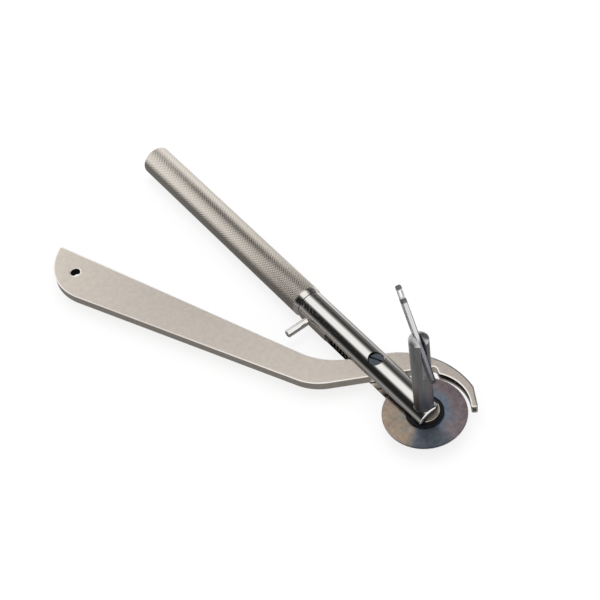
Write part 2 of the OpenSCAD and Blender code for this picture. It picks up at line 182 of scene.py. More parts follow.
def ramp(tree, share, stops):
    """Runs a share from 0 to 1 through a colour ramp of positions and colours."""
    made = node(tree, "ValToRGB", share)
    elements = made.color_ramp.elements
    elements[0].position, elements[0].color = stops[0]
    elements[1].position, elements[1].color = stops[-1]
    for position, colour in stops[1:-1]:
        elements.new(position).color = colour
    return made.outputs["Color"]


def mix(tree, kind, share, under, over):
    """Blends two colours or two numbers by a share from 0 to 1."""
    low, high, result = (6, 7, 2) if kind == "RGBA" else (2, 3, 0)
    made = node(tree, "Mix", share, data_type=kind)
    feed(tree, made.inputs[low], under)
    feed(tree, made.inputs[high], over)
    return made.outputs[result]


def new_group(name, result, **inputs):
    """A shader node group, the sockets of its inputs inside, and the one of its result."""
    tree = bpy.data.node_groups.new(name, "ShaderNodeTree")
    for title, value in inputs.items():
        kind = "NodeSocketVector" if isinstance(value, tuple) else "NodeSocketFloat"
        tree.interface.new_socket(title, in_out="INPUT", socket_type=kind).default_value = value
    tree.interface.new_socket(result, in_out="OUTPUT", socket_type="NodeSocketFloat")
    given = tree.nodes.new("NodeGroupInput").outputs
    return tree, given, tree.nodes.new("NodeGroupOutput").inputs[0]


def place_group(tree, group, **values):
    return node(tree, "Group", node_tree=group, **values).outputs[0]


# %% [markdown]
# **Grain.** Noise on the object's own coordinates, pulled long in one direction for a brushed face
# or left even for a blasted one. It feeds the roughness and a very shallow bump.

# %% Grain
GRAIN, given, grain_value = new_group(
    "grain", "Value", Vector=(0, 0, 0), Pull=(1, 1, 1), Scale=2000.0, Detail=2.0)
pulled = vector_calc(GRAIN, "MULTIPLY", given["Vector"], given["Pull"])
grain_noise = node(GRAIN, "TexNoise", Vector=pulled, Scale=given["Scale"],
                   Detail=given["Detail"], Roughness=0.6)
feed(GRAIN, grain_value, grain_noise.outputs[0])
print("group", GRAIN.name, "with", len(GRAIN.nodes), "nodes")

# %% [markdown]
# **Scratches.** A thin band of a stretched noise makes broken hairlines. Two layers, one turned
# across the other, keep them from looking combed.

# %% Scratches
SCRATCH_TURNS = (0.5, 2.2)
SCRATCH_TILT = (0.3, 0.2)
SCRATCH_STRETCH = (1, 0.06, 1)
SCRATCH, given, scratch_mask = new_group(
    "scratches", "Mask", Vector=(0, 0, 0), Scale=900.0, Width=0.012)
layers = []
for angle in SCRATCH_TURNS:
    laid = node(SCRATCH, "Mapping", Vector=given["Vector"], Rotation=(*SCRATCH_TILT, angle),
                Scale=SCRATCH_STRETCH)
    lines = node(SCRATCH, "TexNoise", Vector=laid.outputs[0], Scale=given["Scale"],
                 Detail=1.0, Distortion=0.4)
    off_middle = calc(SCRATCH, "ABSOLUTE", calc(SCRATCH, "SUBTRACT", lines.outputs[0], 0.5))
    layers.append(calc(SCRATCH, "LESS_THAN", off_middle, given["Width"]))
feed(SCRATCH, scratch_mask, calc(SCRATCH, "MAXIMUM", *layers))
print("group", SCRATCH.name, "with", len(SCRATCH.nodes), "nodes")

# %% [markdown]
# ## Finishes
# Every metal here is one Principled shader. Its colour moves slowly between two tones, its
# roughness follows the grain and the scratches, and the grain lifts the surface by a hair. What is
# the same all over, such as the full metallic value, is set on the shader's own socket.

# %% Metal finishes
FINISH = {}


def tone(red, green, blue):
    """A colour as seen on a screen, from 0 to 255, turned into linear light."""
    def linear(value):
        value /= 255
        return value / 12.92 if value <= 0.04045 else ((value + 0.055) / 1.055) ** 2.4
    return (linear(red), linear(green), linear(blue), 1)


def metal(slot, light, dark, rough, grain=1800, pull=(1, 1, 1), spread=0.1, lift=0.006, mottle=150,
          streak=(1, 1, 1), scratch=0.1):
    """A metal finish between two tones, with grain, scratches and a slight bump."""
    made = bpy.data.materials.new(slot)
    made.use_nodes = True
    tree = made.node_tree
    shader = tree.nodes["Principled BSDF"].inputs
    shader["Metallic"].default_value = 1
    where = node(tree, "TexCoord").outputs["Object"]
    slow = place_group(tree, GRAIN, Vector=where, Scale=mottle, Pull=streak, Detail=3.0)
    fine = place_group(tree, GRAIN, Vector=where, Scale=grain, Pull=pull)
    lines = place_group(tree, SCRATCH, Vector=where)
    grained = stretch(tree, fine, (0, 1), (rough - spread / 2, rough + spread / 2))
    bump = node(tree, "Bump", Strength=1.0, Distance=lift * MM, Height=fine)
    feed(tree, shader["Base Color"], mix(tree, "RGBA", slow, tone(*light), tone(*dark)))
    feed(tree, shader["Roughness"], calc(tree, "MULTIPLY_ADD", lines, scratch, grained))
    feed(tree, shader["Normal"], bump.outputs["Normal"])
    FINISH[slot] = made


metal("barrel_chrome", (246, 244, 241), (238, 235, 231), 0.05, grain=900, pull=(0.1, 1, 1),
      spread=0.03, lift=0.002, scratch=0.06)
metal("grip_nickel", (255, 252, 246), (250, 243, 234), 0.18, grain=3000, scratch=0)
metal("ferrule_polish", (247, 244, 238), (240, 235, 228), 0.09, grain=1500, pull=(1, 0.1, 0.1),
      spread=0.04, lift=0.002, scratch=0.05)
metal("lever_satin", (252, 242, 231), (226, 216, 205), 0.43, grain=2600, spread=0.16, lift=0.02,
      mottle=700, scratch=0.06)
metal("screw_dark", (112, 118, 128), (86, 90, 98), 0.26, spread=0.12, scratch=0.15)
metal("washer_bright", (222, 214, 196), (204, 195, 176), 0.32, grain=1500, lift=0.004)
metal("inner_steel", (170, 168, 165), (150, 148, 146), 0.3, lift=0.005)
metal("collar_black", (54, 54, 58), (36, 36, 40), 0.35, spread=0.12, scratch=0.2)
metal("post_steel", (226, 224, 225), (140, 139, 142), 0.3, grain=2600, pull=(1, 1, 0.05),
      spread=0.2, lift=0.01, mottle=900, streak=(1, 1, 0.08))
metal("key_steel", (226, 225, 226), (205, 204, 207), 0.11, grain=1200, pull=(0.15, 1, 1),
      spread=0.06, lift=0.003, scratch=0.12)
metal("slider_satin", (206, 199, 188), (188, 180, 170), 0.4, grain=2200, spread=0.12, lift=0.01,
      scratch=0.05)
metal("peg_chrome", (246, 244, 241), (236, 233, 229), 0.07, grain=1500, spread=0.04, lift=0.002,
      scratch=0.08)
metal("spring_dark", (120, 117, 114), (92, 90, 88), 0.28, lift=0.004, scratch=0)
metal("saw_tint", (200, 200, 200), (180, 180, 180), 0.3, grain=2200, spread=0.14, scratch=0.12)
print(len(FINISH), "metal finishes:", ", ".join(sorted(FINISH)))

# %% [markdown]
# ** Overlays.** Some faces are duller, darker or brighter than the rest of their piece. Part of
# this is the metal's own: a duller mill-cut end, edges that wear has smoothed and dirt in the
# knurl's grooves. Part is painted light and shade: the nose's end, the barrel's seam and the
# lever's recesses are painted dark, the worn edges a touch lighter as a painted highlight, and the
# knurl's grooves darker as painted shade, most of all towards the front. A mask on the piece's own
# coordinates, or a mark that its points or faces carry, lays a second colour and roughness over
# the finish.

# %% Overlays
def overlay(slot, mask, colour, rough):
    """Lays a colour and a roughness over a finish where the mask is 1."""
    tree = FINISH[slot].node_tree
    shader = tree.nodes["Principled BSDF"].inputs
    for name, kind, over in (("Base Color", "RGBA", tone(*colour)), ("Roughness", "FLOAT", rough)):
        under = shader[name].links[0].from_socket
        feed(tree, shader[name], mix(tree, kind, mask, under, over))
    print("overlay on", slot)


def place_on(slot):
    """The node tree of a finish and its object coordinates."""
    tree = FINISH[slot].node_tree
    return tree, node(tree, "TexCoord").outputs["Object"]


def marked(slot, name):
    """The mark that a piece's points or faces carry under a name."""
    return node(FINISH[slot].node_tree, "Attribute", attribute_name=name).outputs["Fac"]


def axis_distance(tree, where, axis_place):
    """The distance from an upright axis."""
    aside = vector_calc(tree, "SUBTRACT", where, axis_place)
    return vector_calc(tree, "LENGTH", vector_calc(tree, "MULTIPLY", aside, (1, 1, 0)))


# The nose's end faces are painted dark: partly duller mill-cut steel, partly a painted dark
# reflection.
overlay("barrel_chrome", marked("barrel_chrome", "milled_and_shaded"), (96, 94, 92), 0.35)
# The knurl's grooves are darker: partly dirt, partly painted shade in the grooves.
grooved = marked("grip_nickel", "groove")
overlay("grip_nickel", grooved, (188, 179, 168), 0.2)
# Towards the front the grooves are painted darker still, as painted shade.
tree, where = place_on("grip_nickel")
rear, front = (ARBOR.x + end.x * MM for end in span("grip"))
front_groove_shade = compare(tree, where, (1, 0, 0), rear, front)
overlay("grip_nickel", calc(tree, "MULTIPLY", grooved, front_groove_shade), (165, 156, 146), 0.2)

# %% [markdown]
# ** Brushed post and key.** The post is steel brushed along its height, which is the grain pulled
# long in Z, and it is painted darker towards its foot, as painted shade where it meets the barrel.
# The key is the same steel, darker below its pin, so its tone follows the distance from the pin
# along the bar.

# %% Post and key finish
SHADE_FROM = 16
SHADE_TO = 4
KEY_DARK_FADE = 2.0
KEY_LEAN = radians(37.5)
tree, where = place_on("post_steel")
# Painted shade: the post darkens towards its foot.
overlay("post_steel", compare(tree, where, (0, 0, -1), -SHADE_FROM * MM, -SHADE_TO * MM),
        (118, 119, 128), 0.4)
key_up = Vector((-sin(KEY_LEAN) * KEY_AXIS.y, sin(KEY_LEAN) * KEY_AXIS.x, cos(KEY_LEAN)))
pin_place = ARBOR + KEY_PIN * MM
pin_level = pin_place.dot(key_up)
tree, where = place_on("key_steel")
# The key is coloured darker below its pin.
overlay("key_steel", compare(tree, where, -key_up, -pin_level - KEY_DARK_FADE * MM, -pin_level),
        (140, 141, 146), 0.2)
print("key's bar points along", [round(c, 3) for c in key_up])

# %% [markdown]
# **Heat-tinted saw disc.** Hardening leaves oxide colours on the disc: blue round the hub, mauve
# towards the rim and straw yellow in patches. The distance from the arbor, shifted by a slow
# noise, runs through three colour ramps, and the side of the disc chooses between them.

# %% Saw disc finish
DISC_R = span("saw_disc")[1].x
MAUVE = [(0.5, (134, 147, 166)), (0.62, (148, 145, 154)), (0.74, (153, 142, 146)),
         (0.9, (148, 131, 135)), (1.0, (158, 144, 148))]
STRAW = [(0.5, (168, 160, 148)), (0.7, (176, 160, 143)), (0.9, (184, 162, 140)),
         (1.0, (176, 158, 146))]
SLATE = [(0.5, (116, 125, 136)), (0.95, (109, 116, 126))]
PATCH_SCALE = 420
PATCH_SHIFT = (-0.6, 0.6)
SPECK_SCALE = 800
SPECK_DEPTH = (0.55, 1.45)
WARM_SIDE, WARM_RISE = (-0.17, -0.98, 0), (0.45, 0.78)
COLD_SIDE, COLD_RISE = (0.85, -0.53, 0), (0.76, 0.95)

tree, where = place_on("saw_tint")
disc_share = (1 / (DISC_R * MM), 1 / (DISC_R * MM), 0)
flat = vector_calc(tree, "MULTIPLY", vector_calc(tree, "SUBTRACT", where, ARBOR), disc_share)
patches = place_group(tree, GRAIN, Vector=where, Scale=PATCH_SCALE, Detail=5.0)
reach = calc(tree, "ADD", vector_calc(tree, "LENGTH", flat),
             stretch(tree, patches, (0, 1), PATCH_SHIFT))
mauve, straw, slate = (ramp(tree, reach, [(at, tone(*colour)) for at, colour in stops])
                       for stops in (MAUVE, STRAW, SLATE))
side = vector_calc(tree, "NORMALIZE", flat)
warm = compare(tree, side, WARM_SIDE, *WARM_RISE)
cold = compare(tree, side, COLD_SIDE, *COLD_RISE)
tint = mix(tree, "RGBA", cold, mix(tree, "RGBA", warm, mauve, straw), slate)
specks = place_group(tree, GRAIN, Vector=where, Scale=SPECK_SCALE, Detail=4.0)
speckled = node(tree, "VectorMath", tint, operation="SCALE",
                Scale=stretch(tree, specks, (0, 1), SPECK_DEPTH))
feed(tree, tree.nodes["Principled BSDF"].inputs["Base Color"], speckled.outputs[0])
print("disc tinted out to", round(DISC_R, 2), "mm")

# %% [markdown]
# ## Workshop helpers
# Turned pieces start as a half profile that is spun round an axis, as on a lathe. Flat pieces
# start as one face that is pulled to a thickness. Blocks and drills are the shapes that cut.

# %% Basic shapes
FULL_TURN = 2 * pi
QUARTER = pi / 2
ARC_STEP = radians(2)
WELD = 1e-4


def heading(angle):
    return Vector((cos(angle), sin(angle)))


def beside(angle):
    return Vector((-sin(angle), cos(angle)))


def arc(centre, radius, start, end, count=None):
    """Points along an arc, two degrees apart where no count is given."""
    count = count or ceil(abs(end - start) / ARC_STEP)
    return [centre + radius * heading(start + (end - start) * i / count) for i in range(count + 1)]


def turned(profile, steps=120, closed=False):
    """Spins (radius, height) points round +Z. A closed profile makes a ring."""
    bm = bmesh.new()
    points = [bm.verts.new((radius, 0, height)) for radius, height in profile]
    pairs = list(zip(points, points[1:])) + ([(points[-1], points[0])] if closed else [])
    edges = [bm.edges.new(pair) for pair in pairs]
    bmesh.ops.spin(bm, geom=points + edges, cent=(0, 0, 0), axis=(0, 0, 1), angle=FULL_TURN,
                   steps=steps, use_merge=True)
    bmesh.ops.remove_doubles(bm, verts=bm.verts, dist=WELD)
    bmesh.ops.recalc_face_normals(bm, faces=bm.faces)
    return bm


def pull_up(bm, height):
    """Pulls the faces of a flat shape up to a thickness along Z."""
    made = bmesh.ops.extrude_face_region(bm, geom=list(bm.faces))["geom"]
    top = [v for v in made if isinstance(v, bmesh.types.BMVert)]
    bmesh.ops.translate(bm, verts=top, vec=(0, 0, height))
    bmesh.ops.recalc_face_normals(bm, faces=bm.faces)
    return bm


def plate(outline, low, high):
    """A flat piece with an outline of (x, y) points."""
    bm = bmesh.new()
    bm.faces.new([bm.verts.new((x, y, low)) for x, y in outline])
    return pull_up(bm, high - low)


def turn(bm, angle, axis):
    bmesh.ops.rotate(bm, cent=(0, 0, 0), matrix=Matrix.Rotation(angle, 3, axis), verts=bm.verts)
    return bm


def move(bm, vec):
    bmesh.ops.translate(bm, vec=vec, verts=bm.verts)
    return bm


def block(low, high):
    bm = bmesh.new()
    bmesh.ops.create_cube(bm, size=1)
    low, high = Vector(low), Vector(high)
    bmesh.ops.scale(bm, vec=high - low, verts=bm.verts)
    return move(bm, (low + high) / 2)


def drill(radius, low, high, place=(0, 0), steps=72):
    """A round cutter along Z."""
    bm = bmesh.new()
    bmesh.ops.create_cone(bm, cap_ends=True, segments=steps, radius1=radius, radius2=radius,
                          depth=high - low)
    return move(bm, (place[0], place[1], (low + high) / 2))


def along_barrel(bm):
    """Lays a turned shape down, its +Z towards the nose."""
    return turn(bm, QUARTER, "Y")


# %% [markdown]
# Slots and holes are cut with the Boolean modifier, as a milling cutter would do it, and sharp
# edges get a small chamfer, because no real edge is perfectly sharp. The modifier may give its
# points in another order on each run, so a mesh is sorted before it is cleaned, and every run
# gives the same one.

# %% Cutting and fitting
FLAT_ANGLE = radians(0.2)
OVERRUN = 1.0


def loose(bm, name):
    """An object of its own from a shape that is finished for now."""
    mesh = bpy.data.meshes.new(name)
    bm.to_mesh(mesh)
    bm.free()
    made = bpy.data.objects.new(name, mesh)
    scene.collection.objects.link(made)
    return made


def twin_marks(old, new):
    """Gives points or faces the number layers that another mesh's have, and lists both in pairs."""
    return [(mark, new.layers.float.new(mark.name)) for mark in old.layers.float.values()]


def copy_marks(marks, old, new):
    """Copies the marks of one point or face to another."""
    for old_mark, new_mark in marks:
        new[new_mark] = old[old_mark]
    return new


def in_order(bm):
    """Writes a mesh again with its points and faces sorted by place."""
    points = sorted(bm.verts, key=lambda v: v.co[:])
    place = {point: number for number, point in enumerate(points)}
    rings = []
    for face in bm.faces:
        ring = [place[v] for v in face.verts]
        first = ring.index(min(ring))
        rings.append((ring[first:] + ring[:first], face))
    rings.sort(key=lambda pair: pair[0])
    fresh = bmesh.new()
    point_marks = twin_marks(bm.verts, fresh.verts)
    face_marks = twin_marks(bm.faces, fresh.faces)
    corners = [copy_marks(point_marks, point, fresh.verts.new(point.co)) for point in points]
    for ring, face in rings:
        copy_marks(face_marks, face, fresh.faces.new([corners[number] for number in ring]))
    bm.free()
    return fresh


def carve(bm, *cutters):
    """Cuts shapes away with the Boolean modifier and gives back the carved shape."""
    work = loose(bm, "work")
    tools = [loose(cutter, "cutter") for cutter in cutters]
    for tool in tools:
        cut = work.modifiers.new("cut", "BOOLEAN")
        cut.operation, cut.solver, cut.object = "DIFFERENCE", "EXACT", tool
    carved = bmesh.new()
    carved.from_object(work, bpy.context.evaluated_depsgraph_get())
    for used in [work] + tools:
        mesh = used.data
        bpy.data.objects.remove(used)
        bpy.data.meshes.remove(mesh)
    carved = in_order(carved)
    bmesh.ops.remove_doubles(carved, verts=carved.verts, dist=WELD)
    bmesh.ops.dissolve_limit(carved, angle_limit=FLAT_ANGLE, verts=carved.verts, edges=carved.edges)
    return carved


def chamfer(bm, width, sharper=50, segments=1, keep=lambda edge: True):
    """Takes the corner off every edge that is sharper than an angle in degrees."""
    edges = [e for e in bm.edges if e.is_manifold and keep(e)
             and e.calc_face_angle() > radians(sharper)]
    bmesh.ops.bevel(bm, geom=edges, offset=width, offset_type="OFFSET", affect="EDGES",
                    segments=segments, profile=0.5, material=-1, clamp_overlap=True)
    return bm


def piece(name, bm, body, slot, *nodes, crease=30):
    """Moves a finished shape into the frame, dresses it and ties it to its body."""
    bm = in_order(bm)
    bmesh.ops.transform(bm, matrix=Matrix.Translation(ARBOR) @ Matrix.Scale(MM, 4), verts=bm.verts)
    open_edges = sum(not edge.is_manifold for edge in bm.edges)
    made = loose(bm, name)
    made.data.shade_smooth()
    made.data.set_sharp_from_angle(angle=radians(crease))
    made.data.materials.append(FINISH[slot])
    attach(made, body)
    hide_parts(*nodes)
    print(f"{name}: {len(made.data.polygons)} faces, {open_edges} open edges, rides {body}")
    return made


# %% [markdown]
# ## Slit barrel
# The barrel is a polished tube with a long bore. A slit runs through it from the nose for the disc
# and the lever, and goes on as a side slot for the slider. It is turned first and then milled, and
# the nose is rounded off on the hook's side.

# %% Slit barrel
barrel_low, barrel_high = span("barrel")
ferrule_low, ferrule_high = span("ferrule")
slider_low, slider_high = span("slider")
spring_low, spring_high = span("return_spring")
shim_top = span("upper_shim")[1].z
screw_low, screw_high = span("pivot_screw")
post_low, post_high = span("arbor_post")
BARREL_R = barrel_high.z
TAIL = ferrule_high.x
TANG_R = 3.45
SEAM = 0.35
NOSE_ROUND = 0.6
BORE_R = 2.85
SIDE_FIT = 0.03
SLOT_GAP = 0.2
NECK_GAP = 0.5
RECESS_GAP = 0.1
RUN_FIT = 0.04
SLIT = shim_top + SIDE_FIT
SLOT_END = slider_low.x - SLOT_GAP
SLIT_END = spring_high.x - NECK_GAP
POST_R = post_high.x
SCREW_HEAD_R = screw_high.x - PIVOT.x
SCREW_HEAD_T = 0.8
SCREW_R = 1.6
JOURNAL_R = 2.0
LOW_JOURNAL_R = 1.5
SEAT_SINK = 0.05
FOOT_SEAT = sqrt(BARREL_R ** 2 - (POST_R + RECESS_GAP) ** 2) - SEAT_SINK
BARREL_EDGE = 0.1
FACING_FRONT = 0.35
FACING_LEVEL = 0.3

nose = arc(Vector((BARREL_R - NOSE_ROUND, barrel_high.x - NOSE_ROUND)), NOSE_ROUND, 0, QUARTER, 10)
tube = along_barrel(turned([
    (0, barrel_low.x), (TANG_R, barrel_low.x), (TANG_R, TAIL), (BARREL_R - SEAM, TAIL),
    (BARREL_R - SEAM, TAIL + SEAM), (BARREL_R, TAIL + SEAM), *nose, (0, barrel_high.x)]))
nose_r = sqrt(BARREL_R ** 2 - SLIT ** 2)
corner = carve(
    block((0, 0, -2 * BARREL_R), (2 * nose_r, 2 * nose_r, 2 * BARREL_R)),
    drill(nose_r, -3 * BARREL_R, 3 * BARREL_R, steps=120))
tube = carve(
    tube,
    move(corner, (barrel_high.x - nose_r, 0, 0)),
    along_barrel(drill(BORE_R, barrel_low.x - OVERRUN, spring_high.x)),
    block((SLOT_END, -BARREL_R - OVERRUN, -SLIT), (barrel_high.x + OVERRUN, 0, SLIT)),
    block((SLIT_END, -BARREL_R - OVERRUN, -SLIT),
          (barrel_high.x + OVERRUN, BARREL_R + OVERRUN, SLIT)),
    drill(SCREW_R, -BARREL_R - OVERRUN, BARREL_R, PIVOT),
    drill(SCREW_HEAD_R + RECESS_GAP, screw_high.z - SCREW_HEAD_T, BARREL_R + OVERRUN, PIVOT),
    drill(JOURNAL_R + RUN_FIT, 0, BARREL_R),
    drill(LOW_JOURNAL_R + RUN_FIT, -BARREL_R, 0),
    drill(POST_R + RECESS_GAP, FOOT_SEAT, BARREL_R + OVERRUN),
    drill(POST_R + RECESS_GAP, -BARREL_R - OVERRUN, -FOOT_SEAT))
chamfer(tube, BARREL_EDGE, sharper=60)
tube.normal_update()
# Faces that look forward along the barrel are marked. The finish paints them dark, partly as duller
# mill-cut steel and partly as a painted dark reflection.
nose_end_face_marks = tube.faces.layers.float.new("milled_and_shaded")
for face in tube.faces:
    face[nose_end_face_marks] = float(face.normal.x > FACING_FRONT and abs(face.normal.z) < FACING_LEVEL)
piece("slit_barrel", tube, "frame", "barrel_chrome", "barrel")

# %% [markdown]
# The narrow seam where the barrel meets the ferrule is painted near-black, as painted shade in the
# groove, so it reads as a dark line.

# %% Seam shade
SEAM_SOFT = 0.01 * MM
seam_back = ARBOR.x + TAIL * MM
seam_front = seam_back + SEAM * MM
tree, where = place_on("barrel_chrome")
seam_shade = band(tree, where, Vector((1, 0, 0)), seam_back - SEAM_SOFT, seam_front + SEAM_SOFT,
               SEAM_SOFT)
# Painted shade: the seam's floor is coloured near-black.
overlay("barrel_chrome", seam_shade, (34, 34, 38), 0.4)

# %% [markdown]
# ## Knurled grip
# Knurling wheels press two crossing sets of grooves into the grip, which leaves rows of small
# pyramids. A flat grid is rolled round the axis with every second point sunk to the groove's
# depth, and each square is split along the groove, so that the light catches real facets.

# %% Knurled grip
grip_low, grip_high = span("grip")
GRIP_R = grip_high.z
KNURL_STARTS = 48
KNURL_DEPTH = 0.023
KNURL_LEAN = radians(30)
END_RIM = 0.35
END_CHAMFER = 0.6
END_STEP = 0.1
END_CAP_R = 2.0

columns = 2 * KNURL_STARTS
row_step = FULL_TURN * GRIP_R / columns / tan(KNURL_LEAN)
knurl_front = grip_high.x - END_RIM
knurl_rear = grip_low.x + END_CHAMFER
rows = round((knurl_front - knurl_rear) / row_step)
grip = bmesh.new()
bmesh.ops.create_grid(grip, x_segments=rows, y_segments=columns, size=0.5)
groove = grip.verts.layers.float.new("groove")
for vert in grip.verts:
    row = round((vert.co.x + 0.5) * rows)
    column = round((vert.co.y + 0.5) * columns)
    around = FULL_TURN * column / columns
    vert[groove] = (row + column) % 2
    radius = GRIP_R - KNURL_DEPTH * vert[groove]
    along = knurl_rear + (knurl_front - knurl_rear) * row / rows
    vert.co = (along, radius * cos(around), radius * sin(around))
bmesh.ops.remove_doubles(grip, verts=grip.verts, dist=WELD)
bmesh.ops.triangulate(grip, faces=grip.faces, quad_method="SHORT_EDGE")


def close_end(bm, place, rings):
    """Draws the open rim at one end in through (radius, place) rings, and caps it."""
    rim = [e for e in bm.edges if e.is_boundary and abs(e.verts[0].co.x - place) < WELD]
    for radius, along in rings:
        made = bmesh.ops.extrude_edge_only(bm, edges=rim)["geom"]
        rim = [e for e in made if isinstance(e, bmesh.types.BMEdge)]
        for vert in {v for e in rim for v in e.verts}:
            out = hypot(vert.co.y, vert.co.z)
            vert.co = (along, vert.co.y * radius / out, vert.co.z * radius / out)
    bmesh.ops.contextual_create(bm, geom=rim)


close_end(grip, knurl_rear, [(GRIP_R - KNURL_DEPTH, knurl_rear - END_STEP),
                             (GRIP_R - END_CHAMFER, grip_low.x), (END_CAP_R, grip_low.x)])
close_end(grip, knurl_front, [(GRIP_R - KNURL_DEPTH, grip_high.x), (TANG_R, grip_high.x)])
bmesh.ops.recalc_face_normals(grip, faces=grip.faces)
piece("knurled_grip", grip, "frame", "grip_nickel", "grip", crease=1)
print("knurl:", columns, "by", rows, "points")

# %% [markdown]
# ## Ferrule
# A polished ring closes the joint between grip and barrel. Its bevel faces the barrel.

# %% Ferrule
FERRULE_BEVEL_LEN = 1.1
FERRULE_BEVEL_DEPTH = 0.45
RIM = 0.08
CLOSE_FIT = 0.01
ring = turned([
    (TANG_R + CLOSE_FIT, ferrule_low.x), (GRIP_R - RIM, ferrule_low.x),
    (GRIP_R, ferrule_low.x + RIM), (GRIP_R, TAIL - FERRULE_BEVEL_LEN - RIM / 2),
    (GRIP_R - RIM / 3, TAIL - FERRULE_BEVEL_LEN + RIM / 2),
    (GRIP_R - FERRULE_BEVEL_DEPTH, TAIL), (TANG_R + CLOSE_FIT, TAIL)], closed=True)
piece("polished_ferrule", along_barrel(ring), "frame", "ferrule_polish", "ferrule")

# %% [markdown]
# ## Guard lever
# One flat forging: a broad, tapered handle, a bend, a neck through the barrel, and the hook over
# the disc. Its outline is built from a few straight lines, with each corner rounded, and two arcs
# for the hook. The face is then pulled to its thickness, drilled and grooved. A narrow ring is set
# into each flat and its outer side dropped a little, which gives the rolled edge that such a
# forging has.

# %% Lever outline
PIVOT_2D = PIVOT.xy
DISC_GAP = 0.2
NECK_W = 6.8
NECK_ANGLE = radians(59)
BEND_DROP = 15.8
HANDLE_ANGLE = radians(22)
HANDLE_LEN = 89.5
HANDLE_ROOT_W = 7.7
HANDLE_END_W = 14.2
END_SLANT = 2.8
END_FLAT = 1.2
END_CORNER_R = 0.5
BEND_INNER_R = 20
BEND_OUTER_R = 14.5
HOOK_START = 2.2
HOOK_W = 2.4
HOOK_FROM = radians(123)
HOOK_TO = radians(50)
NOTCH_ANGLE = radians(160)
NOTCH_R = 1.1
BACK_TAPER = radians(78)
TIP_W = 1.7
HOOK_CORNER_R = 0.46
CLOSE_TURN = radians(2.4)


def meet(p, a, q, b):
    """Where the line through p at angle a crosses the line through q at angle b."""
    return p + heading(a) * (q - p).cross(heading(b)) / heading(a).cross(heading(b))


def half_corner(before, p, after):
    return (before - p).angle(after - p) / 2


def rounded(before, p, after, radius):
    """The arc that rounds the corner p between two neighbours."""
    u, v = (before - p).normalized(), (after - p).normalized()
    half = half_corner(before, p, after)
    centre = p + (u + v).normalized() * radius / sin(half)
    start = p + u * radius / tan(half) - centre
    end = p + v * radius / tan(half) - centre
    first = atan2(start.y, start.x)
    return arc(centre, radius, first, first + atan2(start.cross(end), start.dot(end)))


neck_left = PIVOT_2D + beside(NECK_ANGLE) * NECK_W / 2
neck_right = PIVOT_2D - beside(NECK_ANGLE) * NECK_W / 2
bend = PIVOT_2D - heading(NECK_ANGLE) * BEND_DROP
taper = atan((HANDLE_END_W - HANDLE_ROOT_W) / 2 / HANDLE_LEN)


def on_handle(along, offset):
    return bend - heading(HANDLE_ANGLE) * along + beside(HANDLE_ANGLE) * offset


def half_width(along):
    return (HANDLE_ROOT_W + (HANDLE_END_W - HANDLE_ROOT_W) * along / HANDLE_LEN) / 2


end_top = on_handle(HANDLE_LEN + END_SLANT / 2, half_width(HANDLE_LEN + END_SLANT / 2))
end_low = on_handle(HANDLE_LEN - END_SLANT / 2, -half_width(HANDLE_LEN - END_SLANT / 2))
bend_outer = meet(on_handle(0, -HANDLE_ROOT_W / 2), HANDLE_ANGLE + taper, neck_right, NECK_ANGLE)
bend_inner = meet(on_handle(0, HANDLE_ROOT_W / 2), HANDLE_ANGLE - taper, neck_left, NECK_ANGLE)
end_radius = ((end_top - end_low).length - END_FLAT) * tan(
    half_corner(end_top, end_low, bend_outer))

hook_r = DISC_R + DISC_GAP
hook_centre = PIVOT_2D - PIVOT_2D.x * heading(CLOSE_TURN)
hook_root = hook_centre + hook_r * heading(HOOK_FROM)
notch = meet(hook_root, NOTCH_ANGLE, neck_right, NECK_ANGLE)
back_start = neck_left + heading(NECK_ANGLE) * HOOK_START
back_top = hook_centre + Vector((0, hook_r + HOOK_W))
back_r = (back_start - back_top).length_squared / (
    2 * beside(NECK_ANGLE).dot(back_start - back_top))
back_centre = back_start - beside(NECK_ANGLE) * back_r
tip_in = hook_centre + hook_r * heading(HOOK_TO)
tip_out = hook_centre + (hook_r + TIP_W) * heading(HOOK_TO)
hook_arc = arc(hook_centre, hook_r, HOOK_FROM - 2 * ARC_STEP, HOOK_TO + 2 * ARC_STEP)
back_arc = arc(back_centre, back_r, BACK_TAPER, QUARTER + NECK_ANGLE)
lever_outline = (
    rounded(bend_inner, end_top, end_low, END_CORNER_R)
    + rounded(end_top, end_low, bend_outer, end_radius)
    + rounded(end_low, bend_outer, notch, BEND_OUTER_R)
    + rounded(bend_outer, notch, hook_root, NOTCH_R)
    + rounded(notch, hook_root, hook_arc[0], HOOK_CORNER_R)
    + hook_arc
    + rounded(hook_arc[-1], tip_in, tip_out, HOOK_CORNER_R)
    + rounded(tip_in, tip_out, back_arc[0], TIP_W / 3)
    + back_arc
    + rounded(back_start, bend_inner, end_top, BEND_INNER_R))
print("lever outline:", len(lever_outline), "points")

